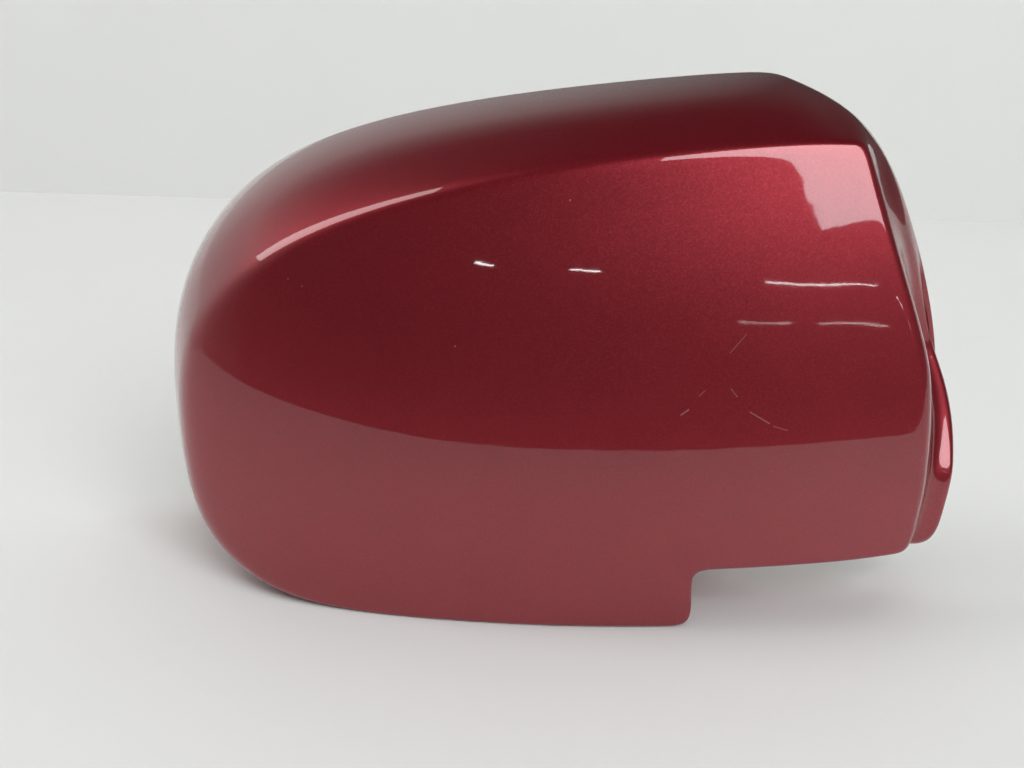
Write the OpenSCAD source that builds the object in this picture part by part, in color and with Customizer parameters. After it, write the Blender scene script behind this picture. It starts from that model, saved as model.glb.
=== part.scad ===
// Cover cap of a door mirror: one thin injection-moulded shell, open to the rear.
// X runs to the inboard side, Y to the rear and Z up. The cover stands on its flat chin.

/* [Cover] */
// Width across the rim
cover_w = 244; // [210:1:280]
// Height from the chin to the top of the rim
cover_h = 151; // [130:1:175]
// Depth from the foremost point of the face to the rim
cover_d = 92; // [75:1:110]
// Thickness of the moulded wall
wall = 2.5; // [2:0.1:3.2]

/* [Face] */
// How far the outboard side of the face curves back
face_sweep = 54; // [40:1:64]
// How far the inboard side of the face curves back
face_fall = 6; // [2:0.5:10]
// How far the face leans back at the top crease
face_lean = 20; // [10:1:28]
// Height of the top of the rim above the crease
crease_drop = 15; // [10:0.5:22]

/* [Chin] */
// Distance from the inboard side of the cover to the step of the chin
step_in = 81; // [60:1:100]
// Height of the step
step_h = 18; // [10:0.5:26]
// How much the lower edge climbs from the step to the inboard side
step_rise = 3.5; // [0:0.5:8]
// How far the chin is set back below the step line
chin_set = 1.2; // [0:0.1:2]

/* [Inboard flange] */
// Length of the short return flange
flange_d = 24; // [18:1:32]
// How far the cheek beside the foot swells out of the flange
cheek_out = 10; // [4:0.5:14]
// Height of the ledge that crosses the cheek
ledge_z = 38; // [32:0.5:44]
// Depth of the ledge
ledge_d = 1.6; // [0.6:0.1:2.4]

/* [Rim lip] */
// Width of the thinned lip that laps over the mirror housing
lip_w = 3; // [2:0.5:5]
// Thickness of the lip
lip_t = 1.4; // [1:0.1:1.8]

/* [Snap hooks] */
// Width of a hook
hook_w = 12; // [8:0.5:16]
// Length of its tongue
hook_l = 18; // [12:0.5:24]
// Thickness of its tongue
hook_t = 1.8; // [1.4:0.1:2.4]
// Gap between the tongue and the wall
hook_gap = 4.5; // [3:0.5:7]
// Height of the barb
barb_h = 2; // [1:0.25:2.5]

/* [Locating pegs] */
// Diameter of a peg
peg_d = 7; // [5:0.5:9]
// Length of a peg
peg_l = 14; // [8:1:20]
// Diameter of the tower that carries it
tower_d = 9.5; // [9:0.5:12]
// Height of the tower tops above the foremost point of the face
tower_h = 46; // [30:1:60]

/* [Smoothness] */
// Points between two stations of the outline
fine_u = 4; // [2:1:6]
// Rings between two control rows of the profile
fine_v = 2; // [1:1:4]

/* [Hidden] */
paint = "#7a1f2b";
$fn = 48;

left = -cover_w / 2 - 2;
right = cover_w / 2 - 1;
front = -cover_d / 2;
back = cover_d / 2;
top = cover_h + 0.8;
crown_x = 30;
level_z = 19;
crease_z = cover_h - crease_drop;
step_x = right - step_in + 1;
low_z = step_h + step_rise;
trim_y = front + face_fall + flange_d;
hub = [10, (cover_h - level_z) / 2];
sunk = 1.2;

// Smooth step from 0 to 1
function fade(t) = let (c = min(max(t, 0), 1)) c * c * (3 - 2 * c);

// Depth of the outer face at a place seen from the front
function face_y(x, z) =
    let (reach = crown_x - left - 1,
         d = min(max(crown_x - x, 0) / reach, 0.999),
         e = max(x - crown_x, 0) / (right - 13 - crown_x),
         lean = max(z - level_z, 0) / (crease_z - level_z),
         chin = fade((step_h - z) / 3 + 0.5) * fade((x - step_x + 45) / 40))
    front + face_sweep * (1 - sqrt(1 - d * d)) + face_fall * e * e + face_lean * lean * lean + chin_set * chin;

// A station is one place round the outline: the corner between face and wall, how far that corner is
// rounded, the angle at which the wall leaves it, the point of the rim behind it, and the cheek's swelling.
function station(corner, round, lean, rim, swell = [0, 0, 0]) = [corner, round, lean, rim, swell];
function across(share) = left + share * (right - left);
function up(share) = share * cover_h;
function bulge(a, b, c) = cheek_out / 10 * [a, b, c];
stations = [
    // Top edge, from the inboard corner outwards
    station([right - 40, crease_z], 3, 15, [right - 45, back - 6, top - 1.3]),
    station([right - 52, crease_z + 0.5], 4, 30, [right - 51, back, top]),
    station([across(0.604), crease_z - 2.5], 5, 33, [across(0.616), back, top - 3.1]),
    station([across(0.361), crease_z - 13], 6, 36, [across(0.349), back, top - 10.6]),
    station([left + 40, crease_z - 32], 9, 42, [left + 32, back, top - 26]),
    // Outboard side
    station([left + 12, up(0.52)], 12, 30, [left + 2, back, up(0.613)]),
    station([left + 6, up(0.307)], 14, 6, [left, back, up(0.373)]),
    station([left + 12.5, 17], 10, 6, [left + 5, back, 17]),
    station([left + 29, 4], 7, 0, [left + 22, back, 3]),
    // Flat chin
    station([left + 54, 0], 2.5, 0, [left + 54, back, 0]),
    station([across(0.358), 0], 2.5, 0, [across(0.358), back, 0]),
    station([across(0.524), 0], 2.5, 0, [across(0.524), back, 0]),
    station([step_x - 8, 0], 2.5, 0, [step_x - 8, back, 0]),
    station([step_x, 0], 3, 0, [step_x, back - 2, 0]),
    station([step_x, step_h / 2], 4, 0, [step_x, back - 26, step_h / 2]),
    // Lower edge beside the chin
    station([step_x - 1, step_h + 0.5], 4, 0, [step_x + 2, trim_y + 11, step_h + 0.5]),
    station([step_x + 9, step_h], 4, 0, [step_x + 11, trim_y + 4, step_h + 0.8]),
    station([right - 36, low_z - 2], 5, 0, [right - 36, trim_y + 2, low_z - 0.5]),
    station([right - 19, low_z - 0.5], 5, 0, [right - 13, trim_y, low_z - 2], bulge(0, 1, 0)),
    // Inboard flange and cheek
    station([right - 12, low_z], 5, -6, [right - 4, trim_y - 1, low_z - 3.5], bulge(-1, 2, 3)),
    station([right - 11, low_z + 8], 6, -12, [right - 3, trim_y, low_z + 7], bulge(-2, 2, 3)),
    station([right - 10.5, ledge_z - 2], 7, -14, [right - 2, trim_y + 1, ledge_z - 2], bulge(-2, 2, 3)),
    station([right - 10.5, ledge_z + 2], 7, -14, [right - 2, trim_y + 1, ledge_z + 2],
        bulge(-2, 2, 3.5) + [0, ledge_d, ledge_d]),
    station([right - 12, up(0.373)], 7, -14, [right - 1.5, trim_y + 2, up(0.36)], bulge(-3, 1, 4)),
    station([right - 16.5, up(0.52)], 7, -6, [right - 10.5, trim_y + 2, up(0.507)], bulge(-1, 0, 1)),
    station([right - 23, up(0.693)], 7, 4, [right - 17, trim_y + 2, up(0.687)]),
    station([right - 30, crease_z - 9], 6, 10, [right - 27, trim_y + 6, crease_z - 5]),
    station([right - 33, crease_z], 4, 14, [right - 33, trim_y + 28, crease_z + 7.5])
];
count = len(stations);

// Directions pointing out of the outline: a mitred one that keeps an inset even, and its unit vector
function unit(v) = v / norm(v);
function side(i) = let (a = stations[(i + count) % count][0], b = stations[(i + 1) % count][0], t = unit(b - a))
    [t[1], -t[0]];
function mitre(i) = let (a = side(i - 1), b = side(i)) (a + b) / (1 + a * b);

// Control rows of one station from the hub of the face, over its corner, to the rim
function profile(i, inset) =
    let (s = stations[i],
         out = mitre(i),
         corner = s[0] - inset * out,
         round = max(s[1] - inset, 0.6),
         ray = corner - hub,
         base = s[3][2] == 0 || s[2] == 0,
         way = base ? [0, 1, 0] : turned(unit(out), s[2]),
         rim = s[3] - inset * [out[0], 0, out[1]],
         start = on_face(corner, inset) + round * way,
         pull = 0.35 * norm(rim - start),
         end = base ? [0, 1, 0] : turned(unit(out), 3),
         walls = [for (t = [0.30, 0.58, 0.84]) bezier(t, start, start + pull * way, rim - pull * end, rim)],
         swollen = [for (k = [0:2]) walls[k] + [s[4][k], 0, 0]])
    [on_face(hub, inset), on_face(hub + 0.35 * ray, inset), on_face(hub + 0.7 * ray, inset),
     on_face(corner - round * unit(ray), inset), on_face(corner, inset), start,
     swollen[0], swollen[1], swollen[2], rim];

// A plan point laid on the face, and the direction that leans out from the rearward one by an angle
function on_face(p, inset) = [p[0], face_y(p[0], p[1]) + inset, p[1]];
function turned(out, angle) = [out[0] * sin(angle), cos(angle), out[1] * sin(angle)];
function bezier(t, a, b, c, d) = let (s = 1 - t)
    s * s * s * a + 3 * t * s * s * b + 3 * t * t * s * c + t * t * t * d;

// Uniform cubic spline through a profile and round the stations
function spline(t, a, b, c, d) = let (s = 1 - t)
    (s * s * s * a + (3 * t * t * t - 6 * t * t + 4) * b + (3 * s * s * s - 6 * s * s + 4) * c + t * t * t * d) / 6;
function along(p, v) =
    let (last = len(p) - 2,
         k = min(floor(v), last),
         before = k == 0 ? [2 * p[0][0] - p[1][0], p[1][1], 2 * p[0][2] - p[1][2]] : p[k - 1],
         after = k == last ? 2 * p[k + 1] - p[k] : p[k + 2])
    spline(v - k, before, p[k], p[k + 1], after);

// The rings round the hub lie on the face itself
function settled(p, v, inset) = let (share = fade((v - 1) / 1.5))
    [p[0], share * p[1] + (1 - share) * (face_y(p[0], p[2]) + inset), p[2]];

// Row at which a profile ends when it stops short of its rim, and one ring through all profiles
function reach(p, short) = rows - min(short / norm(p[rows] - p[rows - 1]), 0.8);
function ring(profiles, v, inset, short = 0) =
    let (knots = [for (p = profiles) along(p, v / rows * reach(p, short))])
    [for (i = [0:count - 1], k = [0:fine_u - 1])
        settled(spline(k / fine_u, knots[(i + count - 1) % count], knots[i], knots[(i + 1) % count],
            knots[(i + 2) % count]), v, inset)];

// The shell's rings: outer skin, thinned lip, and inner skin back to the hub
function skin(inset) = [for (i = [0:count - 1]) profile(i, inset)];
rows = 9;
steps = [for (k = [0:rows - 1], j = [1:fine_v]) k + j / fine_v];
outer_skin = skin(0);
inner_skin = skin(wall);
lip_skin = skin(lip_t);
outer_rings = [for (v = steps) ring(outer_skin, v, 0)];
inner_rings = [for (v = steps) ring(inner_skin, v, wall, lip_w)];
lip_rings = [ring(lip_skin, rows, lip_t), ring(lip_skin, rows, lip_t, lip_w)];
last_ring = len(steps) - 1;
rings = concat(outer_rings, lip_rings, [for (k = [last_ring:-1:0]) inner_rings[k]]);

// The outline is centred on the origin
xs = [for (r = outer_rings, p = r) p[0]];
ys = [for (r = outer_rings, p = r) p[1]];
centre = [(min(xs) + max(xs)) / 2, (min(ys) + max(ys)) / 2, 0];

// A closed skin over rings of points, with a tip at each end
module skinned(rings, first_tip, last_tip) {
    size = len(rings[0]);
    total = len(rings) * size;
    body = [for (r = [0:len(rings) - 2], c = [0:size - 1])
        let (a = r * size + c, b = r * size + (c + 1) % size)
        each [[a, b, a + size], [b, b + size, a + size]]];
    tips = [for (c = [0:size - 1])
        each [[total, (c + 1) % size, c],
              [total + 1, total - size + c, total - size + (c + 1) % size]]];
    polyhedron([for (r = rings) each r, first_tip, last_tip], concat(body, tips));
}

module shell() {
    skinned(rings, on_face(hub, 0), on_face(hub, wall));
}

// A place on the inner side of the wall: station number, row, and the frame there
module on_wall(u, v) {
    i = floor(u);
    k = u - i;
    near = [for (j = [-1:2]) inner_skin[(i + j + count) % count]];
    p = spline(k, along(near[0], v), along(near[1], v), along(near[2], v), along(near[3], v));
    q = spline(k, along(near[0], v + 0.3), along(near[1], v + 0.3), along(near[2], v + 0.3), along(near[3], v + 0.3));
    r = spline(k + 0.05, along(near[0], v), along(near[1], v), along(near[2], v), along(near[3], v));
    rearward = unit(q - p);
    inward = unit(cross(r - p, rearward));
    sideways = cross(rearward, inward);
    multmatrix([
        [sideways[0], rearward[0], inward[0], p[0]],
        [sideways[1], rearward[1], inward[1], p[1]],
        [sideways[2], rearward[2], inward[2], p[2]]
    ]) children();
}

// Snap hook: a foot that stands on the wall, a tongue to the rear and a barb that faces the wall
module snap_hook() {
    foot_t = 2 * hook_t;
    translate([hook_w / 2, 0, 0]) rotate([0, -90, 0]) linear_extrude(hook_w)
        polygon([
            [-sunk, -foot_t], [hook_gap + hook_t, 0], [hook_gap + hook_t, hook_l], [hook_gap, hook_l],
            [hook_gap - barb_h, hook_l - barb_h], [hook_gap, hook_l - 2 * barb_h], [hook_gap, foot_t], [-sunk, foot_t]
        ]);
}

// Locating peg on a tower that rises from the inner side of the face
module locating_peg(x, z) {
    root_r = tower_d / 2 + 0.5;
    root = max([for (a = [0:45:315]) face_y(x + root_r * cos(a), z + root_r * sin(a))]) + 0.6;
    shoulder = front + tower_h - root;
    tip = shoulder + peg_l;
    translate([x, root, z]) rotate([-90, 0, 0]) rotate_extrude()
        polygon([
            [0, 0], [root_r, 0], [tower_d / 2, shoulder], [peg_d / 2, shoulder],
            [peg_d / 2, tip - 1], [peg_d / 2 - 1, tip], [0, tip]
        ]);
}

module mirror_cover() {
    color(paint) translate(-centre) union() {
        shell();
        for (at = [[1.6, 7], [2.7, 7], [3.9, 6.8], [5.8, 6.3], [9.6, 7.2], [11.3, 7.2]])
            on_wall(at[0], at[1]) snap_hook();
        locating_peg(72, 80);
        locating_peg(-34, 62);
    }
}

mirror_cover();
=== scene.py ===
"""Door mirror cover in metallic red paint, standing on its chin on a white table."""

import math
from collections import namedtuple
from types import SimpleNamespace

import bmesh
import bpy
import numpy as np
from bpy.props import FloatProperty, FloatVectorProperty, IntProperty, PointerProperty
from mathutils import Matrix, Vector


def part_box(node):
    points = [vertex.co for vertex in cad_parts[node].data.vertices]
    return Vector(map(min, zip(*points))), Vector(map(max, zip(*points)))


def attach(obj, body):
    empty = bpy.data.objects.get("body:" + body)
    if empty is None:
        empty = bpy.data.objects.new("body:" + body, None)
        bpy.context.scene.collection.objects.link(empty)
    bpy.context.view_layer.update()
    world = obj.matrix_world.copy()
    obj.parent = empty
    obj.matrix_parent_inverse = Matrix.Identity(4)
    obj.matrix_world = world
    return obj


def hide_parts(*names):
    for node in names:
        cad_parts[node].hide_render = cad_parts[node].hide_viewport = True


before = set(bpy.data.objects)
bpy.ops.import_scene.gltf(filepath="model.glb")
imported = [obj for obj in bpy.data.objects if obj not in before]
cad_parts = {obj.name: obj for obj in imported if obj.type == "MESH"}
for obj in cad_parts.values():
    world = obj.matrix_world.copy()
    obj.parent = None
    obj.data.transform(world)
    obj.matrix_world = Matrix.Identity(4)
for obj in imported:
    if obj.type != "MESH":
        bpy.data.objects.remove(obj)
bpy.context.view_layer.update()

bl_info = {
    "name": "Door mirror cover",
    "version": (1, 0, 0),
    "blender": (4, 5, 0),
    "location": "View3D > Sidebar > Mirror cover",
    "description": "Builds a painted door mirror cover and the table that it stands on",
    "category": "Add Mesh",
}

NODE = "mirror_cover"
BODY = "root"
MM = 0.001
MIST_ATTRIBUTE = "overspray"


def linear(code):
    """The linear colour of an sRGB hex code."""
    parts = [int(code[i:i + 2], 16) / 255 for i in (1, 3, 5)]
    return [p / 12.92 if p <= 0.04045 else ((p + 0.055) / 1.055) ** 2.4 for p in parts]


def length(name, description, default, low, high):
    """A length in metres, given in millimetres."""
    return FloatProperty(name=name, description=description, default=default * MM,
                         min=low * MM, max=high * MM, unit="LENGTH", precision=4)


def colour(name, description, code):
    return FloatVectorProperty(name=name, description=description, subtype="COLOR",
                               default=linear(code), min=0, max=1)


class CoverSizes(bpy.types.PropertyGroup):
    """Sizes of the moulded shell."""
    width: length("Width", "Width across the rim", 244, 210, 280)
    height: length("Height", "Height from the chin to the top of the rim", 151, 130, 175)
    depth: length("Depth", "Depth from the foremost point of the face to the rim", 92, 75, 110)
    wall: length("Wall", "Thickness of the moulded wall", 2.5, 2, 3.2)
    face_sweep: length("Face sweep", "How far the outboard side of the face curves back", 54, 40, 64)
    face_fall: length("Face fall", "How far the inboard side of the face curves back", 6, 2, 10)
    face_lean: length("Face lean", "How far the face leans back at the top crease", 20, 10, 28)
    crease_drop: length("Crease drop", "Height of the top of the rim above the crease", 15, 10, 22)
    step_in: length("Step place", "Distance from the inboard side to the step of the chin", 81, 60, 100)
    step_h: length("Step height", "Height of the step of the chin", 18, 10, 26)
    step_rise: length("Step rise", "How much the lower edge climbs from the step inboard", 3.5, 0, 8)
    chin_set: length("Chin setback", "How far the chin is set back below the step line", 1.2, 0, 2)
    flange_d: length("Flange", "Length of the short return flange", 24, 18, 32)
    ledge_z: length("Ledge height", "Height of the ledge that crosses the cheek", 41, 32, 44)
    ledge_d: length("Ledge depth", "Depth of the ledge", 1.6, 0.6, 2.4)
    lip_w: length("Lip width", "Width of the thinned lip of the rim", 3, 2, 5)
    lip_t: length("Lip thickness", "Thickness of the lip", 1.4, 1, 1.8)
    edge_r: length("Edge radius", "Rounding of the lip's edges", 0.4, 0.1, 0.6)
    fine_round: IntProperty(name="Points round", description="Points between two stations",
                            default=14, min=2, max=20)
    fine_along: IntProperty(name="Points along", description="Rings between two rows of a profile",
                            default=8, min=1, max=12)


class HookSizes(bpy.types.PropertyGroup):
    """Sizes of a snap hook."""
    width: length("Width", "Width of a hook", 12, 8, 16)
    tongue_l: length("Length", "Length of its tongue", 18, 12, 24)
    tongue_t: length("Thickness", "Thickness of its tongue", 1.8, 1.4, 2.4)
    gap: length("Gap", "Gap between the tongue and the wall", 4.5, 3, 7)
    barb: length("Barb", "Height of the barb", 2, 1, 2.5)
    sunk: length("Foot depth", "How far the foot runs into the wall", 1.2, 0.8, 1.5)


class PegSizes(bpy.types.PropertyGroup):
    """Sizes of a locating peg."""
    peg_d: length("Peg diameter", "Diameter of a peg", 7, 5, 9)
    peg_l: length("Peg length", "Length of a peg", 14, 8, 20)
    tower_d: length("Tower diameter", "Diameter of the tower that carries it", 9.5, 9, 12)
    tower_h: length("Tower height", "Height of the towers over the face's foremost point", 46, 30, 60)


class PaintLooks(bpy.types.PropertyGroup):
    """Colours of the finish."""
    base: colour("Base coat", "Colour of the metallic base coat", "#8c1a26")
    flake: colour("Flake", "Colour of the brightest flakes", "#c23a4a")
    scratch: colour("Scratch", "Colour of the marks worn into the paint", "#c99a98")
    plastic: colour("Bare plastic", "Colour of the unpainted moulding inside", "#1b1b1d")


class StageLooks(bpy.types.PropertyGroup):
    """Colours of the table and the wall."""
    table: colour("Table", "Colour of the white table top", "#ececea")
    wall: colour("Wall", "Colour of the wall behind", "#f0f0ed")


def in_mm(group):
    """The group's lengths in millimetres, and its counts as they are."""
    values = {}
    for name in group.__annotations__:
        value = getattr(group, name)
        values[name] = value if isinstance(value, int) else value / MM
    return SimpleNamespace(**values)


Station = namedtuple("Station", "corner round lean rim cheek", defaults=(None,))


class CoverForm:
    """The cover's surface in millimetres: a spline through profiles that stand round the outline."""

    ROWS = 9

    def __init__(self, sizes):
        self.s = s = in_mm(sizes)
        self.left = -s.width / 2 - 2
        self.right = s.width / 2 - 1
        self.front = -s.depth / 2
        self.back = s.depth / 2
        self.top = s.height + 0.8
        self.crown_x = 30
        self.level_z = 19
        self.crease_z = s.height - s.crease_drop
        self.step_x = self.right - s.step_in + 1
        self.low_z = s.step_h + s.step_rise
        self.trim_y = self.front + s.face_fall + s.flange_d
        self.hub = np.array([10, (s.height - self.level_z) / 2])
        self.stations = self.make_stations()
        self.count = len(self.stations)
        self.corners = np.array([t.corner for t in self.stations], float)

    @staticmethod
    def fade(t):
        c = np.clip(t, 0, 1)
        return c * c * (3 - 2 * c)

    def face_y(self, x, z):
        """Depth of the outer face at a place seen from the front."""
        s = self.s
        d = np.minimum(np.maximum(self.crown_x - x, 0) / (self.crown_x - self.left - 1), 0.999)
        e = np.maximum(x - self.crown_x, 0) / (self.right - 13 - self.crown_x)
        lean = np.maximum(z - self.level_z, 0) / (self.crease_z - self.level_z)
        chin = self.fade((s.step_h - z) / 3 + 0.5) * self.fade((x - self.step_x + 45) / 40)
        sweep = s.face_sweep * (1 - np.sqrt(1 - d * d))
        return self.front + sweep + s.face_fall * e * e + s.face_lean * lean * lean + s.chin_set * chin

    def across(self, share):
        return self.left + share * (self.right - self.left)

    def up(self, share):
        return share * self.s.height

    def cheek(self, edge_in, set_back):
        """Outer edge of the cheek and the depth of its forward side."""
        return self.right - edge_in, self.trim_y - 10 + set_back

    def make_stations(self):
        """Corner, its rounding, the angle at which the wall leaves it, the rim behind it, the cheek's edge."""
        s, left, right, back, top = self.s, self.left, self.right, self.back, self.top
        crease, step, low, trim = self.crease_z, self.step_x, self.low_z, self.trim_y
        across, up, cheek = self.across, self.up, self.cheek
        top_edge = [
            Station((right - 40, crease), 3, 15, (right - 45, back - 6, top - 1.3)),
            Station((right - 52, crease + 0.5), 3, 30, (right - 51, back, top)),
            Station((across(0.604), crease - 2.5), 3.5, 33, (across(0.616), back, top - 3.1)),
            Station((across(0.361), crease - 13), 4, 36, (across(0.349), back, top - 10.6)),
            Station((left + 40, crease - 32), 5, 42, (left + 32, back, top - 26)),
        ]
        outboard = [
            Station((left + 14, up(0.52)), 7, 30, (left + 2, back, up(0.613))),
            Station((left + 12, up(0.307)), 8, 24, (left, back, up(0.373))),
            Station((left + 15, 18), 8, 20, (left + 5, back, 17)),
            Station((left + 33, 4), 7, 0, (left + 22, back, 3)),
        ]
        chin = [
            Station((left + 54, 0), 2.5, 0, (left + 54, back, 0)),
            Station((across(0.358), 0), 2.5, 0, (across(0.358), back, 0)),
            Station((across(0.524), 0), 2.5, 0, (across(0.524), back, 0)),
            Station((step - 8, 0), 2.5, 0, (step - 8, back, 0)),
            Station((step, 0), 3, 0, (step, back - 2, 0)),
            Station((step, s.step_h / 2), 4, 0, (step, back - 26, s.step_h / 2)),
        ]
        lower_edge = [
            Station((step - 1, s.step_h + 0.5), 4, 0, (step + 2, trim + 11, s.step_h + 0.5)),
            Station((step + 9, s.step_h), 4, 0, (step + 11, trim + 4, s.step_h + 0.8)),
            Station((right - 36, low - 2), 5, 0, (right - 36, trim + 2, low - 1.5)),
            Station((right - 23, low - 0.5), 5, 0, (right - 20, trim + 2, low - 6)),
        ]
        inboard = [
            Station((right - 17.7, low), 4, 10, (right - 6, trim + 2, low - 8.7), cheek(6.7, 0)),
            Station((right - 16.2, low + 8), 6, 15, (right - 4, trim + 3, low + 5.5), cheek(4.6, 0)),
            Station((right - 15, s.ledge_z - 2), 6.5, 17, (right - 2.5, trim + 4, s.ledge_z - 3),
                    cheek(3, 0.5)),
            Station((right - 14.7, s.ledge_z + 2), 6.5, 17, (right - 2, trim + 5, s.ledge_z + 1),
                    cheek(2.4, 0.5 + s.ledge_d)),
            Station((right - 14.4, up(0.373)), 6.5, 17, (right - 0.8, trim + 9, up(0.345)), cheek(1.4, 8.5)),
            Station((right - 15, up(0.45)), 6, 17, (right - 3, trim + 12, up(0.43)), cheek(3.4, 15)),
            Station((right - 16.5, up(0.52)), 5, 24, (right - 4.5, trim + 9, up(0.507)), cheek(8, 20.5)),
            Station((right - 26.2, up(0.693)), 3, 29, (right - 14.3, trim + 2, up(0.687))),
            Station((right - 33.5, crease - 9), 3, 27, (right - 24.5, trim + 6, crease - 5)),
            Station((right - 35.5, crease), 3, 24, (right - 31.5, trim + 28, crease + 7.5)),
        ]
        return top_edge + outboard + chin + lower_edge + inboard

    def mitres(self):
        """Directions out of the outline at its corners, long enough to keep an inset even."""
        ahead = np.roll(self.corners, -1, 0) - self.corners
        ahead /= np.linalg.norm(ahead, axis=1)[:, None]
        after = np.stack([ahead[:, 1], -ahead[:, 0]], 1)
        before = np.roll(after, 1, 0)
        return (before + after) / (1 + np.sum(before * after, 1))[:, None]

    def on_face(self, p, inset):
        return np.array([p[0], self.face_y(p[0], p[1]) + inset, p[1]])

    def profile(self, i, mitre, inset):
        """Control rows of one station from the hub of the face, over its corner, to the rim."""
        t = self.stations[i]
        out = mitre / np.linalg.norm(mitre)
        corner = self.corners[i] - inset * mitre
        round_r = max(t.round - inset, 0.6)
        ray = corner - self.hub
        base = t.rim[2] == 0 or t.lean == 0
        rearward = np.array([0.0, 1.0, 0.0])
        way = rearward if base else self.turned(out, t.lean)
        end = rearward if base else self.turned(out, 3)
        rim = np.array(t.rim, float) - inset * np.array([mitre[0], 0, mitre[1]])
        start = self.on_face(corner, inset) + round_r * way
        pull = 0.35 * np.linalg.norm(rim - start)
        walls = [bezier(share, start, start + pull * way, rim - pull * end, rim)
                 for share in (0.30, 0.58, 0.84)]
        if t.cheek:
            edge_x, cheek_y = t.cheek[0] - inset, t.cheek[1] + inset
            walls[0][:2] = edge_x - 6, cheek_y + 1.8
            walls[1][:2] = edge_x + 2, cheek_y - 1
            walls[2][:2] = edge_x + 1.5, cheek_y + 5
        face = [self.on_face(self.hub + k * ray, inset) for k in (0, 0.35, 0.7)]
        bend = self.on_face(corner - round_r * ray / np.linalg.norm(ray), inset)
        return face + [bend, self.on_face(corner, inset), start] + walls + [rim]

    @staticmethod
    def turned(out, angle):
        a = math.radians(angle)
        return np.array([out[0] * math.sin(a), math.cos(a), out[1] * math.sin(a)])

    def skin(self, inset):
        return np.array([self.profile(i, m, inset) for i, m in enumerate(self.mitres())])

    def knots(self, skin, v, short=0.0):
        """One point of every profile, at row v of a profile that stops short of its rim."""
        last = np.linalg.norm(skin[:, self.ROWS] - skin[:, self.ROWS - 1], axis=1)
        reach = v / self.ROWS * (self.ROWS - np.minimum(short / last, 0.8))
        k = np.minimum(np.floor(reach).astype(int), self.ROWS - 1)
        before = np.array([2 * skin[:, 0, a] - skin[:, 1, a] for a in range(3)]).T
        before[:, 1] = skin[:, 1, 1]
        padded = np.concatenate([before[:, None], skin, (2 * skin[:, -1] - skin[:, -2])[:, None]], 1)
        each = np.arange(self.count)
        rows = [padded[each, k + j] for j in range(4)]
        return spline((reach - k)[:, None], *rows)

    def point(self, skin, u, v):
        """A place on a skin: station number, which may lie between two, and row."""
        knots = self.knots(skin, v)
        i = int(u)
        four = [knots[(i + j - 1) % self.count] for j in range(4)]
        return spline(u - i, *four)

    def ring(self, skin, v, inset, fine, short=0.0):
        knots = self.knots(skin, v, short)
        t = (np.arange(fine) / fine)[None, :, None]
        four = [np.roll(knots, 1 - j, 0)[:, None] for j in range(4)]
        p = spline(t, *four).reshape(-1, 3)
        share = self.fade((v - 1) / 1.5)
        p[:, 1] = share * p[:, 1] + (1 - share) * (self.face_y(p[:, 0], p[:, 2]) + inset)
        return p


def bezier(t, a, b, c, d):
    s = 1 - t
    return s * s * s * a + 3 * t * s * s * b + 3 * t * t * s * c + t * t * t * d


def spline(t, a, b, c, d):
    """Uniform cubic spline."""
    s = 1 - t
    return (s ** 3 * a + (3 * t ** 3 - 6 * t * t + 4) * b + (3 * s ** 3 - 6 * s * s + 4) * c + t ** 3 * d) / 6


def mesh_object(name, points, faces, materials, face_slots=None, smooth=True):
    """A new object at the origin, its points given in millimetres."""
    mesh = bpy.data.meshes.new(name)
    mesh.from_pydata((np.asarray(points) * MM).tolist(), [], faces)
    for material in materials:
        mesh.materials.append(material)
    if face_slots is not None:
        mesh.polygons.foreach_set("material_index", face_slots)
    mesh.polygons.foreach_set("use_smooth", [smooth] * len(mesh.polygons))
    mesh.update()
    mesh.validate()
    thing = bpy.data.objects.new(name, mesh)
    bpy.context.scene.collection.objects.link(thing)
    return thing


def dress(piece):
    """The piece stands for part of the moulding and moves with it."""
    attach(piece, BODY)
    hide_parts(NODE)


def cad_shift(form, sizes):
    """From the form's own place to the frame's, in millimetres."""
    s = in_mm(sizes)
    skin = form.skin(0)
    steps = np.arange(1, form.ROWS * s.fine_along + 1) / s.fine_along
    points = np.concatenate([form.ring(skin, v, 0, s.fine_round) for v in steps])
    low, high = (np.array(corner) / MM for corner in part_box(NODE))
    shift = (low + high - points.min(0) - points.max(0)) / 2
    shift[2] = low[2]
    return shift


def shell_rings(form, s):
    """Rings of points over the outer skin, round the lip and back over the inner skin."""
    steps = np.arange(1, form.ROWS * s.fine_along + 1) / s.fine_along
    arcs = np.radians([22.5, 45, 67.5, 90])
    rim = form.ROWS

    def edge(inset, short):
        return form.ring(form.skin(inset), rim, inset, s.fine_round, short), inset

    outer, inner = form.skin(0), form.skin(s.wall)
    rings = [(form.ring(outer, v, 0, s.fine_round, s.edge_r), 0) for v in steps]
    rings += [edge(s.edge_r * (1 - math.cos(a)), s.edge_r * (1 - math.sin(a))) for a in arcs]
    rings += [edge(s.lip_t - s.edge_r * (1 - math.sin(a)), s.edge_r * (1 - math.cos(a))) for a in arcs]
    rings += [edge(s.lip_t, s.lip_w - s.edge_r)]
    rings += [edge(s.lip_t + s.edge_r * (1 - math.cos(a)), s.lip_w - s.edge_r * (1 - math.sin(a)))
              for a in arcs]
    rings += [(form.ring(inner, v, s.wall, s.fine_round, s.lip_w), s.wall) for v in steps[::-1]]
    return rings


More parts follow.
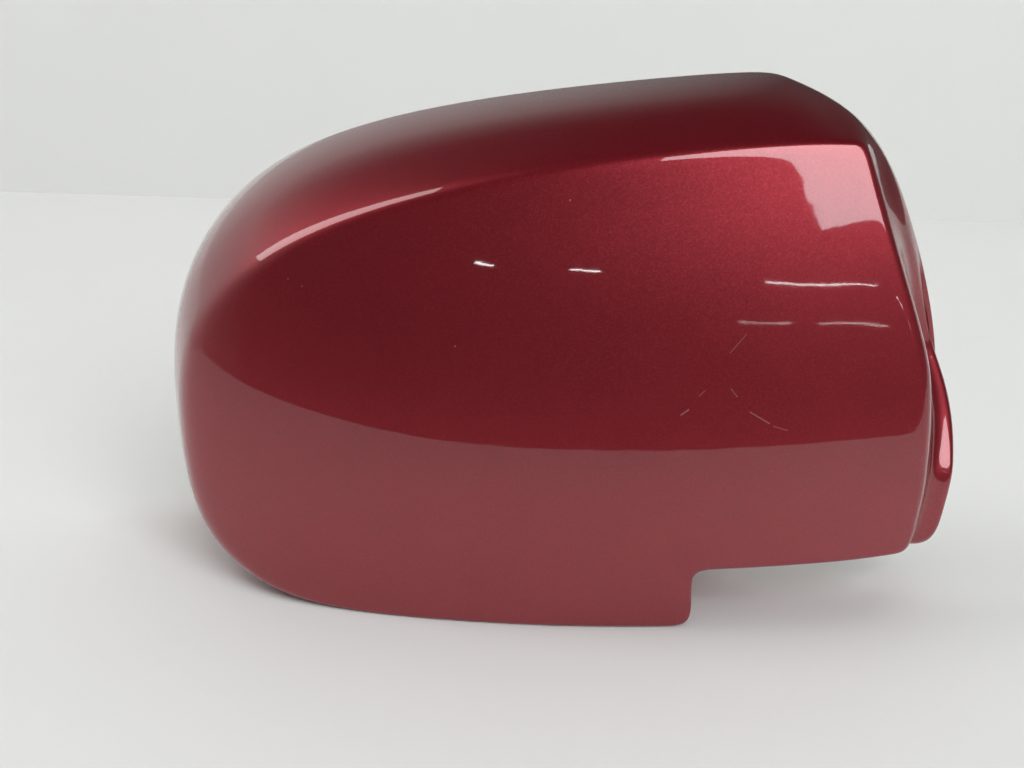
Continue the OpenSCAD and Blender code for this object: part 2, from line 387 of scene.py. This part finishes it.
class MIRROR_OT_shell(bpy.types.Operator):
    """Builds the moulded shell, with its thinned lip and inner side"""
    bl_idname = "mirror.shell"
    bl_label = "Moulded shell"

    def execute(self, context):
        sizes = context.scene.cover_sizes
        form, s = CoverForm(sizes), in_mm(sizes)
        shift = cad_shift(form, sizes)
        rings = shell_rings(form, s)
        size, total = len(rings[0][0]), len(rings)
        tips = [form.on_face(form.hub, inset) for inset in (0, s.wall)]
        points = np.concatenate([ring for ring, _ in rings] + [tips]) + shift
        faces = []
        for r in range(total - 1):
            for c in range(size):
                d = (c + 1) % size
                faces.append((r * size + c, (r + 1) * size + c, (r + 1) * size + d, r * size + d))
        first, last = total * size, total * size + 1
        for c in range(size):
            d = (c + 1) % size
            faces.append((first, c, d))
            faces.append((last, first - size + d, first - size + c))
        inside = form.ROWS * s.fine_along + 8
        slots = [int(f[0] // size >= inside and f[0] != first) for f in faces]
        shell = mesh_object("cover_shell", points, faces, [paint_material(context.scene.paint_looks),
                                                           moulding_material(context.scene.paint_looks)], slots)
        rows = np.arange(total * size + 2) // size
        mist = np.clip(1 - (rows - inside) / s.fine_along, 0, 1)
        attribute = shell.data.attributes.new(MIST_ATTRIBUTE, "FLOAT", "POINT")
        attribute.data.foreach_set("value", mist)
        dress(shell)
        return {"FINISHED"}


HOOK_PLACES = ((1.6, 7), (2.7, 7), (3.9, 6.8), (5.8, 6.3), (9.6, 7.2), (11.3, 7.2))
PEG_PLACES = ((72, 80), (-34, 62))


def hook_profile(h):
    """Side view of a hook: rearward along the wall, then away from the wall."""
    foot = 2 * h.tongue_t
    return [(-foot, -h.sunk), (0, h.gap + h.tongue_t), (h.tongue_l, h.gap + h.tongue_t), (h.tongue_l, h.gap),
            (h.tongue_l - h.barb, h.gap - h.barb), (h.tongue_l - 2 * h.barb, h.gap), (foot, h.gap),
            (foot, -h.sunk)]


def wall_frame(form, skin, u, v):
    """A place on the inner side of the wall and its turn: sideways, rearward, inward."""
    p = form.point(skin, u, v)
    rearward = form.point(skin, u, v + 0.3) - p
    rearward /= np.linalg.norm(rearward)
    inward = np.cross(form.point(skin, u + 0.05, v) - p, rearward)
    inward /= np.linalg.norm(inward)
    sideways = np.cross(rearward, inward)
    turn = Matrix(np.stack([sideways, rearward, inward], 1).tolist())
    return p, turn.to_quaternion()


def add(tree, kind, inputs=None, **settings):
    """Adds a node with its settings, values and links."""
    node = tree.nodes.new(kind)
    for key, value in settings.items():
        setattr(node, key, value)
    for key, value in (inputs or {}).items():
        if isinstance(value, bpy.types.NodeSocket):
            tree.links.new(value, node.inputs[key])
        else:
            node.inputs[key].default_value = value
    return node


def hooks_tree(material):
    """Stands a hook on each point of the guide, turned as the guide's attribute says."""
    tree = bpy.data.node_groups.new("Hooks along the rim", "GeometryNodeTree")
    face = tree.interface
    face.new_socket("Guide", in_out="INPUT", socket_type="NodeSocketGeometry")
    face.new_socket("Hook", in_out="INPUT", socket_type="NodeSocketObject")
    face.new_socket("Hook size", in_out="INPUT", socket_type="NodeSocketFloat")
    face.new_socket("Hooks", in_out="OUTPUT", socket_type="NodeSocketGeometry")
    given = add(tree, "NodeGroupInput").outputs
    hook = add(tree, "GeometryNodeObjectInfo", {"Object": given["Hook"], "As Instance": True})
    turn = add(tree, "GeometryNodeInputNamedAttribute", {"Name": "turn"}, data_type="QUATERNION")
    placed = add(tree, "GeometryNodeInstanceOnPoints", {
        "Points": given["Guide"], "Instance": hook.outputs["Geometry"],
        "Rotation": turn.outputs["Attribute"], "Scale": given["Hook size"]})
    real = add(tree, "GeometryNodeRealizeInstances", {"Geometry": placed.outputs["Instances"]})
    dressed = add(tree, "GeometryNodeSetMaterial",
                  {"Geometry": real.outputs["Geometry"], "Material": material})
    add(tree, "NodeGroupOutput", {"Hooks": dressed.outputs["Geometry"]})
    return tree


class MIRROR_OT_hooks(bpy.types.Operator):
    """Builds the snap hooks that stand along the inner side of the wall"""
    bl_idname = "mirror.hooks"
    bl_label = "Snap hooks"

    def execute(self, context):
        sizes, h = context.scene.cover_sizes, in_mm(context.scene.hook_sizes)
        form = CoverForm(sizes)
        shift = cad_shift(form, sizes)
        skin = form.skin(in_mm(sizes).wall)
        frames = [wall_frame(form, skin, u, v) for u, v in HOOK_PLACES]
        guide = mesh_object("hook_guide", [p + shift for p, _ in frames], [], [])
        turns = guide.data.attributes.new("turn", "QUATERNION", "POINT")
        for item, (_, turn) in zip(turns.data, frames):
            item.value = turn
        hook = extruded("hook", hook_profile(h), h.width)
        material = moulding_material(context.scene.paint_looks)
        tree = hooks_tree(material)
        modifier = guide.modifiers.new("Hooks", "NODES")
        modifier.node_group = tree
        keys = {item.name: item.identifier for item in tree.interface.items_tree if item.in_out == "INPUT"}
        modifier[keys["Hook"]] = hook
        modifier[keys["Hook size"]] = 1.0
        evaluated = guide.evaluated_get(context.evaluated_depsgraph_get())
        mesh = bpy.data.meshes.new_from_object(evaluated)
        mesh.name = "snap_hooks"
        hooks = bpy.data.objects.new("snap_hooks", mesh)
        context.scene.collection.objects.link(hooks)
        for spare in (guide, hook):
            bpy.data.objects.remove(spare)
        dress(hooks)
        return {"FINISHED"}


def extruded(name, outline, width):
    """A moulded bar with a side view of (along, up) points and softened edges."""
    count = len(outline)
    points = [(side * width / 2, y, z) for side in (-1, 1) for y, z in outline]
    faces = [tuple(range(count - 1, -1, -1)), tuple(range(count, 2 * count))]
    for i in range(count):
        j = (i + 1) % count
        faces.append((i, j, count + j, count + i))
    bar = mesh_object(name, points, faces, [])
    outward(bar.data)
    bevel = bar.modifiers.new("Softened edges", "BEVEL")
    bevel.width = 0.25 * MM
    bevel.segments = 3
    return bar


def outward(mesh):
    """Turns every face of a closed mesh outwards."""
    made = bmesh.new()
    made.from_mesh(mesh)
    bmesh.ops.recalc_face_normals(made, faces=made.faces)
    made.to_mesh(mesh)
    made.free()


def lathed(profile, steps, at):
    """Points and faces of a turned form whose axis runs rearward; profile is (radius, depth)."""
    points = [(at[0], profile[0][1], at[1])]
    for radius, depth in profile[1:-1]:
        for k in range(steps):
            a = 2 * math.pi * k / steps
            points.append((at[0] + radius * math.cos(a), depth, at[1] + radius * math.sin(a)))
    points.append((at[0], profile[-1][1], at[1]))
    rings, last = len(profile) - 2, len(points) - 1
    faces = [(0, 1 + k, 1 + (k + 1) % steps) for k in range(steps)]
    for r in range(rings - 1):
        for k in range(steps):
            a, b = 1 + r * steps + k, 1 + r * steps + (k + 1) % steps
            faces.append((a, a + steps, b + steps, b))
    end = 1 + (rings - 1) * steps
    faces += [(end + (k + 1) % steps, end + k, last) for k in range(steps)]
    return points, faces


class MIRROR_OT_pegs(bpy.types.Operator):
    """Builds the locating pegs on their towers"""
    bl_idname = "mirror.pegs"
    bl_label = "Locating pegs"

    def execute(self, context):
        sizes, p = context.scene.cover_sizes, in_mm(context.scene.peg_sizes)
        form = CoverForm(sizes)
        shift = cad_shift(form, sizes)
        points, faces = [], []
        for x, z in PEG_PLACES:
            root_r = p.tower_d / 2 + 0.5
            ring = [2 * math.pi * k / 8 for k in range(8)]
            root = max(form.face_y(x + root_r * math.cos(a), z + root_r * math.sin(a)) for a in ring) + 0.6
            shoulder = form.front + p.tower_h
            tip = shoulder + p.peg_l
            tower, peg = p.tower_d / 2, p.peg_d / 2
            profile = [(0, root), (root_r, root), (tower, shoulder - 0.5), (tower - 0.15, shoulder - 0.15),
                       (tower - 0.5, shoulder), (peg + 0.3, shoulder), (peg + 0.08, shoulder + 0.08),
                       (peg, shoulder + 0.3), (peg, tip - 1.1), (peg - 0.1, tip - 0.9),
                       (peg - 0.9, tip - 0.1), (peg - 1.1, tip), (0, tip)]
            more_points, more_faces = lathed(profile, 64, (x, z))
            faces += [tuple(k + len(points) for k in face) for face in more_faces]
            points += more_points
        pegs = mesh_object("locating_pegs", np.array(points) + shift, faces,
                           [moulding_material(context.scene.paint_looks)])
        outward(pegs.data)
        pegs.data.set_sharp_from_angle(angle=math.radians(50))
        dress(pegs)
        return {"FINISHED"}


def new_material(name):
    """An empty material, its shader and its tree."""
    material = bpy.data.materials.new(name)
    material.use_nodes = True
    tree = material.node_tree
    tree.nodes.clear()
    shader = add(tree, "ShaderNodeBsdfPrincipled")
    add(tree, "ShaderNodeOutputMaterial", {"Surface": shader.outputs["BSDF"]})
    return material, tree, shader


def rgba(colour_value):
    return (*colour_value[:3], 1.0)


# Scratches, nicks and dots on the face: both ends across and up, half the width, strength; mm
MARKS = (
    ((50.0, 71.7), (51.7, 69.6), 0.2, 0.35), ((55.4, 65.3), (60.9, 62.0), 0.22, 0.42),
    ((62.1, 61.2), (66.1, 59.9), 0.18, 0.32), ((49.4, 81.5), (53.7, 86.3), 0.18, 0.25),
    ((36.4, 64.7), (38.4, 66.1), 0.25, 0.45), ((41.3, 69.9), (42.7, 71.3), 0.18, 0.3),
    ((-25.5, 82.3), (-25.4, 82.4), 0.3, 0.45), ((5.8, 121.2), (5.9, 121.3), 0.3, 0.45),
    ((-73.3, 97.7), (-73.2, 97.8), 0.3, 0.35), ((-69.1, 96.0), (-69.0, 96.1), 0.3, 0.35),
)


def marks(tree, place):
    """How far the paint is worn: each mark is a rounded line on the face, seen from the front."""
    flat = add(tree, "ShaderNodeVectorMath", {0: place, 1: (1, 0, 1)}, operation="MULTIPLY").outputs["Vector"]
    worn = None
    for start, end, half_width, strength in MARKS:
        a, b = (Vector((x * MM, 0, z * MM)) for x, z in (start, end))
        run = b - a
        rel = add(tree, "ShaderNodeVectorMath", {0: flat, 1: a}, operation="SUBTRACT").outputs["Vector"]
        along = add(tree, "ShaderNodeVectorMath", {0: rel, 1: run / run.length_squared}, operation="DOT_PRODUCT")
        share = add(tree, "ShaderNodeClamp", {"Value": along.outputs["Value"]})
        foot = add(tree, "ShaderNodeVectorMath", {0: run, "Scale": share.outputs["Result"]}, operation="SCALE")
        gap = add(tree, "ShaderNodeVectorMath", {0: rel, 1: foot.outputs["Vector"]}, operation="DISTANCE")
        mark = add(tree, "ShaderNodeMapRange", {
            "Value": gap.outputs["Value"], "From Min": half_width * MM / 2, "From Max": half_width * MM,
            "To Min": strength, "To Max": 0.0}).outputs["Result"]
        worn = mark if worn is None else add(tree, "ShaderNodeMath", {0: worn, 1: mark},
                                             operation="MAXIMUM").outputs["Value"]
    return worn


def paint_material(looks):
    """Metallic base coat sprayed on ABS under a polished clear coat: a soft glow under a sharp reflection."""
    name = "metallic_paint_clear_coat"
    if name in bpy.data.materials:
        return bpy.data.materials[name]
    material, tree, shader = new_material(name)
    place = add(tree, "ShaderNodeTexCoord").outputs["Object"]
    # Aluminium flakes of 20 to 40 micrometres, drawn 0.3 mm wide so that they show
    flakes = add(tree, "ShaderNodeTexVoronoi", {"Vector": place, "Scale": 3300.0})
    lit = add(tree, "ShaderNodeSeparateColor", {"Color": flakes.outputs["Color"]})
    share = add(tree, "ShaderNodeMapRange", {"Value": lit.outputs["Red"], "From Min": 0.55, "From Max": 1.0,
                                             "To Min": 0.0, "To Max": 0.2})
    # Cloudiness of the sprayed coat, 12 mm across
    cloud = add(tree, "ShaderNodeTexNoise", {"Vector": place, "Scale": 80.0, "Detail": 2.0})
    tone = add(tree, "ShaderNodeMapRange", {"Value": cloud.outputs["Fac"], "To Min": 0.94, "To Max": 1.06})
    blend = add(tree, "ShaderNodeMix", {0: share.outputs["Result"], 6: rgba(looks.base), 7: rgba(looks.flake)},
                data_type="RGBA")
    shade = add(tree, "ShaderNodeVectorMath", {0: blend.outputs[2], "Scale": tone.outputs["Result"]},
                operation="SCALE")
    worn = add(tree, "ShaderNodeMix", {0: marks(tree, place), 7: rgba(looks.scratch)}, data_type="RGBA")
    tree.links.new(shade.outputs["Vector"], worn.inputs[6])
    tree.links.new(worn.outputs[2], shader.inputs["Base Color"])
    # Each flake lies a little askew under the clear coat
    askew = add(tree, "ShaderNodeVectorMath", {0: flakes.outputs["Color"], 1: (0.5, 0.5, 0.5)},
                operation="SUBTRACT")
    small = add(tree, "ShaderNodeVectorMath", {0: askew.outputs["Vector"], "Scale": 0.05}, operation="SCALE")
    surface = add(tree, "ShaderNodeNewGeometry")
    tilted = add(tree, "ShaderNodeVectorMath", {0: surface.outputs["Normal"], 1: small.outputs["Vector"]},
                 operation="ADD")
    normal = add(tree, "ShaderNodeVectorMath", {0: tilted.outputs["Vector"]}, operation="NORMALIZE")
    tree.links.new(normal.outputs["Vector"], shader.inputs["Normal"])
    # Orange peel of the clear coat, waves 4 mm long
    peel = add(tree, "ShaderNodeTexNoise", {"Vector": place, "Scale": 250.0, "Detail": 1.0})
    waves = add(tree, "ShaderNodeBump", {"Height": peel.outputs["Fac"], "Strength": 0.25, "Distance": 0.00002})
    tree.links.new(waves.outputs["Normal"], shader.inputs["Coat Normal"])
    shader.inputs["Metallic"].default_value = 0.65
    shader.inputs["Roughness"].default_value = 0.38
    shader.inputs["Coat Weight"].default_value = 1.0
    shader.inputs["Coat Roughness"].default_value = 0.03
    shader.inputs["Coat IOR"].default_value = 1.58
    return material


def moulding_material(looks):
    """Black ABS as moulded, with a little paint blown over the lip: fine grain, low gloss."""
    name = "moulded_abs_bare"
    if name in bpy.data.materials:
        return bpy.data.materials[name]
    material, tree, shader = new_material(name)
    place = add(tree, "ShaderNodeTexCoord").outputs["Object"]
    near_lip = add(tree, "ShaderNodeAttribute", attribute_name=MIST_ATTRIBUTE)
    cloud = add(tree, "ShaderNodeTexNoise", {"Vector": place, "Scale": 60.0, "Detail": 6.0})
    ragged = add(tree, "ShaderNodeMath", {0: near_lip.outputs["Fac"], 1: cloud.outputs["Fac"]},
                 operation="SUBTRACT")
    mist = add(tree, "ShaderNodeMapRange", {"Value": ragged.outputs["Value"], "From Min": 0.0, "From Max": 0.4})
    blend = add(tree, "ShaderNodeMix", {0: mist.outputs["Result"], 6: rgba(looks.plastic),
                                        7: rgba(looks.base)}, data_type="RGBA")
    tree.links.new(blend.outputs[2], shader.inputs["Base Color"])
    # Spark-eroded mould texture, grain 0.4 mm
    grain = add(tree, "ShaderNodeTexNoise", {"Vector": place, "Scale": 2500.0, "Detail": 2.0})
    bump = add(tree, "ShaderNodeBump", {"Height": grain.outputs["Fac"], "Strength": 0.3, "Distance": 0.00004})
    tree.links.new(bump.outputs["Normal"], shader.inputs["Normal"])
    shader.inputs["Roughness"].default_value = 0.5
    shader.inputs["IOR"].default_value = 1.54
    return material


def matt_material(name, colour_value, roughness):
    """A plain matt board with faint unevenness."""
    material, tree, shader = new_material(name)
    place = add(tree, "ShaderNodeTexCoord").outputs["Object"]
    cloud = add(tree, "ShaderNodeTexNoise", {"Vector": place, "Scale": 6.0, "Detail": 3.0})
    tone = add(tree, "ShaderNodeMapRange", {"Value": cloud.outputs["Fac"], "To Min": 0.985, "To Max": 1.015})
    shade = add(tree, "ShaderNodeVectorMath", {0: tuple(colour_value[:3]), "Scale": tone.outputs["Result"]},
                operation="SCALE")
    tree.links.new(shade.outputs["Vector"], shader.inputs["Base Color"])
    shader.inputs["Roughness"].default_value = roughness
    shader.inputs["Specular IOR Level"].default_value = 0.3
    return material


CAMERA_PLACE = (-0.00984, -0.33965, 0.170)
CAMERA_PITCH = math.radians(18)
FOCAL_PIXELS = 1150
IMAGE_WIDTH = 1024
SENSOR = 36.0
TABLE_EDGE = -0.376
WALL_AWAY = 0.70
WALL_TURN = math.radians(-10.8)
MIRRORED_WALL = 0.2
CEILING = 1.9
TUBE_WIDTH = 0.05
TUBE_GLOW = 25
WINDOW_GLOW = 6
WINDOW_AWAY = 2.2
COVER_MIDDLE = 0.1
# Outline of the window with its curtain: degrees to the right and up, as seen from the cover
WINDOW = ((27, 18), (48, 18), (48, 48), (6, 48), (6, 38), (16, 32), (22, 28), (25, 24))
SKYLIGHT_GLOW = 3.5
SKYLIGHT_SIZE = (0.8, 1.7)
SKYLIGHT_PLACE = (-1.75, 0.31, 2.0)
TUBES = (((2.73, -7.17), (4.77, -8.07)), ((3.71, -11.8), (5.1, -11.9)), ((5.94, -12.3), (8.0, -13.2)),
         ((-1.48, -4.3), (-1.29, -4.46)), ((-0.42, -4.95), (-0.07, -5.24)),
         ((6.0, -8.8), (7.2, -9.3)), ((8.4, -9.8), (10.4, -10.6)))


def board(name, corners, material):
    """A flat stage piece from its corners in metres."""
    made = mesh_object(name, np.array(corners) / MM, [tuple(range(len(corners)))], [material], smooth=False)
    return made


def lamp(name, place, aim, size, energy, shape="RECTANGLE", glossy=True):
    data = bpy.data.lights.new(name, "AREA")
    data.shape = shape
    data.size, data.size_y = size
    data.energy = energy
    made = bpy.data.objects.new(name, data)
    made.location = place
    made.rotation_euler = (Vector(aim) - Vector(place)).to_track_quat("-Z", "Y").to_euler()
    made.visible_camera = False
    made.visible_glossy = glossy
    bpy.context.scene.collection.objects.link(made)
    return made


class MIRROR_OT_stage(bpy.types.Operator):
    """Builds the table, the wall, the lights and the camera"""
    bl_idname = "mirror.stage"
    bl_label = "Table, wall, lights and camera"

    def execute(self, context):
        looks = context.scene.stage_looks
        table = matt_material("white_table_top", looks.table, 0.5)
        wall = matt_material("pale_wall_paint", looks.wall, 0.9)
        board("table", [(-3, TABLE_EDGE, 0), (3, TABLE_EDGE, 0), (3, 2, 0), (-3, 2, 0)], table)
        apron = board("table_near", [(-3, -3, 0), (3, -3, 0), (3, TABLE_EDGE, 0), (-3, TABLE_EDGE, 0)], table)
        apron.visible_glossy = False
        run = Vector((math.cos(WALL_TURN), math.sin(WALL_TURN), 0))
        left, right = Vector((0, WALL_AWAY, 0)) - 3 * run, Vector((0, WALL_AWAY, 0)) + 3 * run
        low, high = Vector((0, 0, MIRRORED_WALL)), Vector((0, 0, 3))
        board("wall", [left, right, right + low, left + low], wall)
        upper = board("wall_above", [left + low, right + low, right + high, left + high], wall)
        upper.visible_glossy = False
        self.make_world(context.scene)
        self.make_lights()
        self.make_camera(context.scene)
        context.scene.view_settings.view_transform = "Standard"
        return {"FINISHED"}

    @staticmethod
    def make_world(scene):
        """A pale room of which the polished paint sees little."""
        world = bpy.data.worlds.new("Room")
        scene.world = world
        world.use_nodes = True
        tree = world.node_tree
        tree.nodes.clear()
        path = add(tree, "ShaderNodeLightPath")
        pale = add(tree, "ShaderNodeBackground", {"Color": (0.8, 0.8, 0.79, 1), "Strength": 0.36})
        away = add(tree, "ShaderNodeTexCoord").outputs["Generated"]
        # The paint sees a bright room to the left and behind, which darkens upward from 27 to 46 degrees
        side = add(tree, "ShaderNodeVectorMath", {0: away, 1: (-0.8, 0.6, 0)}, operation="DOT_PRODUCT")
        bright = add(tree, "ShaderNodeMapRange", {
            "Value": side.outputs["Value"], "From Min": 0.35, "From Max": 0.9, "To Min": 0.06, "To Max": 0.55})
        up = add(tree, "ShaderNodeSeparateXYZ", {"Vector": away})
        fall = add(tree, "ShaderNodeMapRange", {"Value": up.outputs["Z"], "From Min": 0.45, "From Max": 0.72,
                                                "To Min": 1.0, "To Max": 0.15})
        seen = add(tree, "ShaderNodeMath", {0: bright.outputs["Result"], 1: fall.outputs["Result"]},
                   operation="MULTIPLY")
        dark = add(tree, "ShaderNodeBackground", {"Color": (1.0, 0.97, 0.95, 1),
                                                  "Strength": seen.outputs["Value"]})
        mix = add(tree, "ShaderNodeMixShader", {0: path.outputs["Is Glossy Ray"], 1: pale.outputs[0],
                                                2: dark.outputs[0]})
        add(tree, "ShaderNodeOutputWorld", {"Surface": mix.outputs[0]})

    @staticmethod
    def make_lights():
        glow, tree, shader = new_material("daylight_through_curtain")
        shader.inputs["Base Color"].default_value = (0, 0, 0, 1)
        shader.inputs["Emission Color"].default_value = (0.94, 0.97, 1.0, 1)
        shader.inputs["Emission Strength"].default_value = WINDOW_GLOW
        facing = sum(az for az, _ in WINDOW[:2]) / 2
        corners = []
        for az, el in WINDOW:
            away = WINDOW_AWAY / math.cos(math.radians(az - facing))
            a = math.radians(az)
            rise = away * math.tan(math.radians(el))
            corners.append((away * math.sin(a), -away * math.cos(a), COVER_MIDDLE + rise))
        board("window", corners, glow).visible_camera = False
        lamp("skylight", SKYLIGHT_PLACE, (0, 0, COVER_MIDDLE), SKYLIGHT_SIZE,
             math.pi * SKYLIGHT_GLOW * math.prod(SKYLIGHT_SIZE))
        lamp("ceiling_fill", (0.2, -0.4, 2.0), (0, 0.1, 0), (1.6, 1.6), 6, glossy=False)
        for number, (start, end) in enumerate(TUBES):
            a, b = Vector((*start, CEILING)), Vector((*end, CEILING))
            size = ((b - a).length, TUBE_WIDTH)
            power = math.pi * TUBE_GLOW * math.prod(size)
            tube = lamp(f"ceiling_tube_{number}", (a + b) / 2, (0, 0, 0), size, power)
            tube.rotation_euler = (0, 0, math.atan2(b.y - a.y, b.x - a.x))

    @staticmethod
    def make_camera(scene):
        data = bpy.data.cameras.new("Camera")
        data.sensor_width = SENSOR
        data.lens = FOCAL_PIXELS / IMAGE_WIDTH * SENSOR
        data.clip_start = 0.01
        camera = bpy.data.objects.new("Camera", data)
        camera.location = CAMERA_PLACE
        camera.rotation_euler = (math.pi / 2 - CAMERA_PITCH, 0, 0)
        scene.collection.objects.link(camera)
        scene.camera = camera


class MIRROR_PT_panel(bpy.types.Panel):
    """Lists the pieces and their sizes"""
    bl_idname = "MIRROR_PT_panel"
    bl_label = "Mirror cover"
    bl_space_type = "VIEW_3D"
    bl_region_type = "UI"
    bl_category = "Mirror cover"

    def draw(self, context):
        for operator, group in ((MIRROR_OT_shell, "cover_sizes"), (MIRROR_OT_hooks, "hook_sizes"),
                                (MIRROR_OT_pegs, "peg_sizes"), (MIRROR_OT_stage, "stage_looks")):
            box = self.layout.box()
            box.operator(operator.bl_idname)
            settings = getattr(context.scene, group)
            for name in type(settings).__annotations__:
                box.prop(settings, name)
        for name in PaintLooks.__annotations__:
            self.layout.prop(context.scene.paint_looks, name)


GROUPS = {
    "cover_sizes": CoverSizes,
    "hook_sizes": HookSizes,
    "peg_sizes": PegSizes,
    "paint_looks": PaintLooks,
    "stage_looks": StageLooks,
}
OPERATORS = (MIRROR_OT_shell, MIRROR_OT_hooks, MIRROR_OT_pegs, MIRROR_OT_stage)


def register():
    for name, group in GROUPS.items():
        bpy.utils.register_class(group)
        setattr(bpy.types.Scene, name, PointerProperty(type=group))
    for made in (*OPERATORS, MIRROR_PT_panel):
        bpy.utils.register_class(made)


def unregister():
    for made in (MIRROR_PT_panel, *reversed(OPERATORS)):
        bpy.utils.unregister_class(made)
    for name, group in reversed(GROUPS.items()):
        delattr(bpy.types.Scene, name)
        bpy.utils.unregister_class(group)


def main():
    register()
    bpy.ops.mirror.shell()
    bpy.ops.mirror.hooks()
    bpy.ops.mirror.pegs()
    bpy.ops.mirror.stage()


if __name__ == "__main__":
    main()
